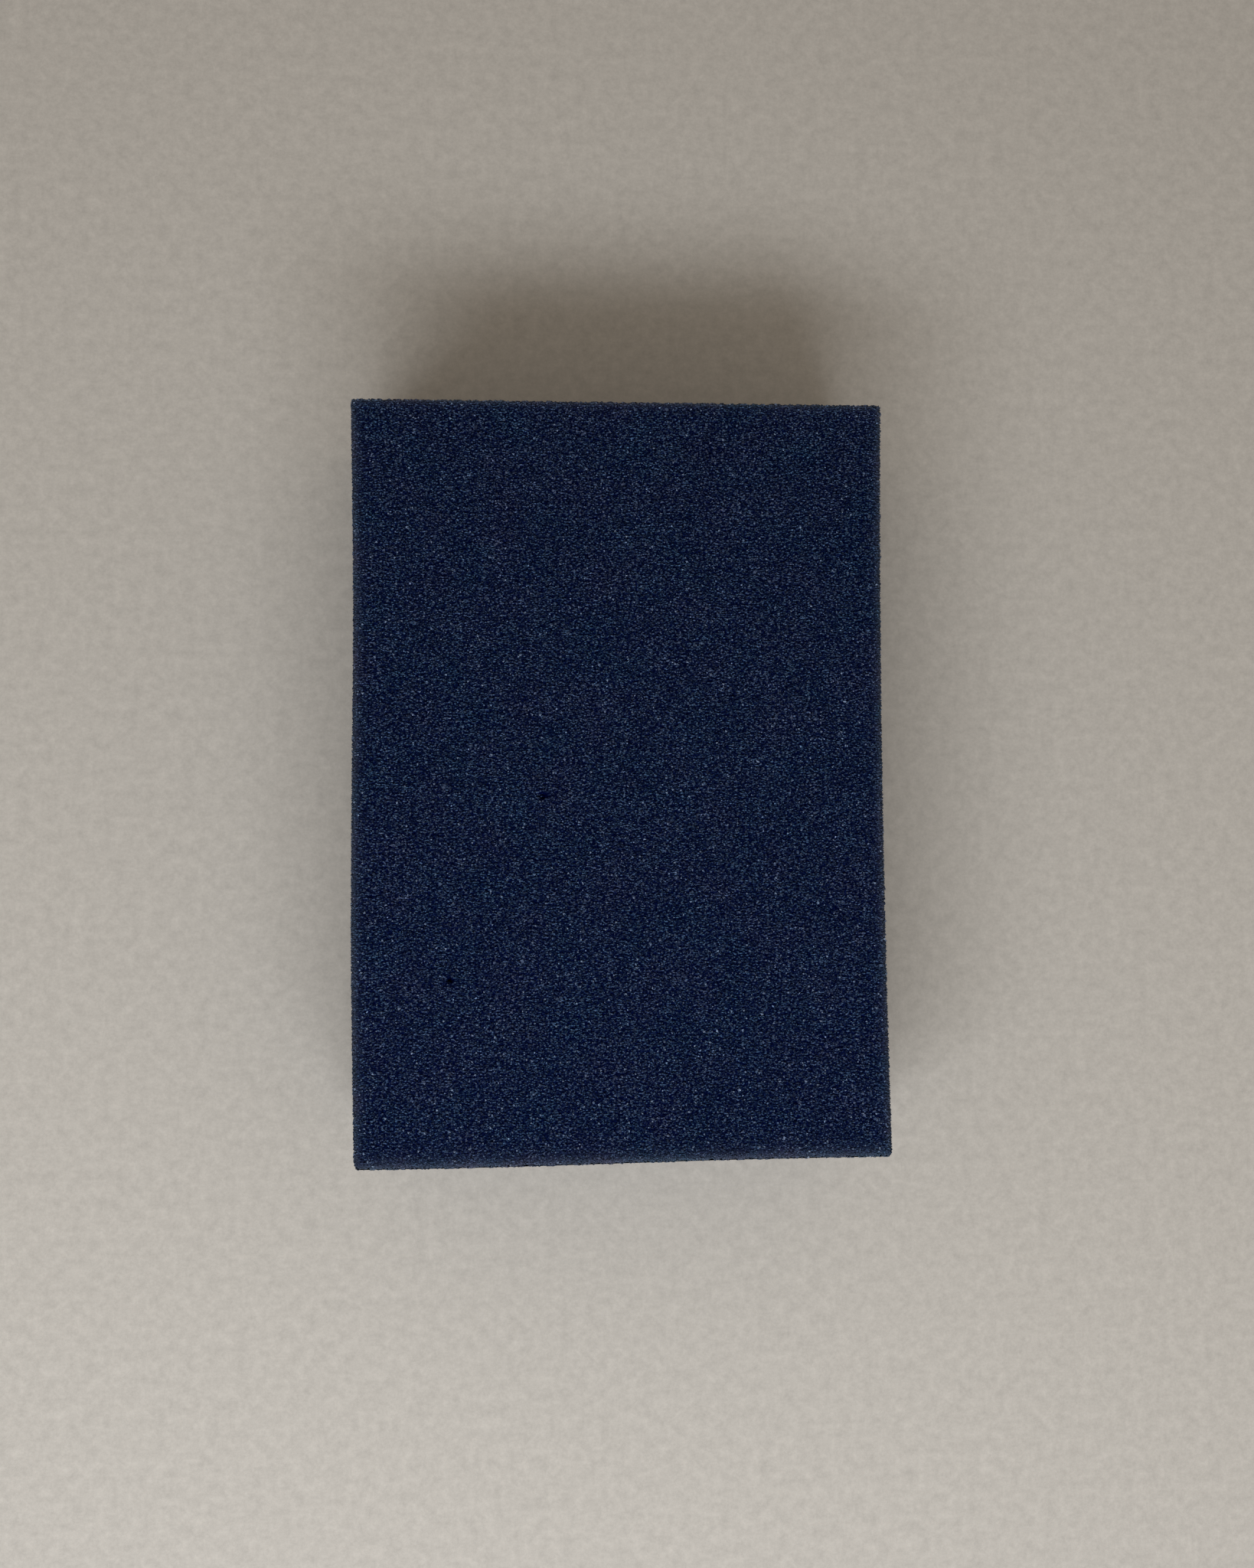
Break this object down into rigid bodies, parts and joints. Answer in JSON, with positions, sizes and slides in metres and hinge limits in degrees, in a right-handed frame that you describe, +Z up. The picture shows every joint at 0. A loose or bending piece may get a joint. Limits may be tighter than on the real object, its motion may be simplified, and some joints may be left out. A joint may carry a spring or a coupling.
{
  "type": "sanding block",
  "caption": "Flexible foam sanding block, a plain flat bar with fine dark grit bonded to its broad faces and long sides and bare foam at its cut ends.",
  "frame": {"origin": "centre of the underside, on the surface the block lies on", "axes": "+Z up from the underside to the top working face, +Y along the block's length between its two cut ends, +X across its width to the right long side"},
  "size_m": [0.07, 0.1, 0.025],
  "materials": {
    "foam": "matte",
    "bond_coat": "satin",
    "grit": "matte"
  },
  "bodies": {
    "root": {"foam_core": "foam", "top_bond_coat": "bond_coat", "top_grit": "grit", "bottom_bond_coat": "bond_coat", "bottom_grit": "grit", "left_bond_coat": "bond_coat", "left_grit": "grit", "right_bond_coat": "bond_coat", "right_grit": "grit"}
  },
  "joints": []
}
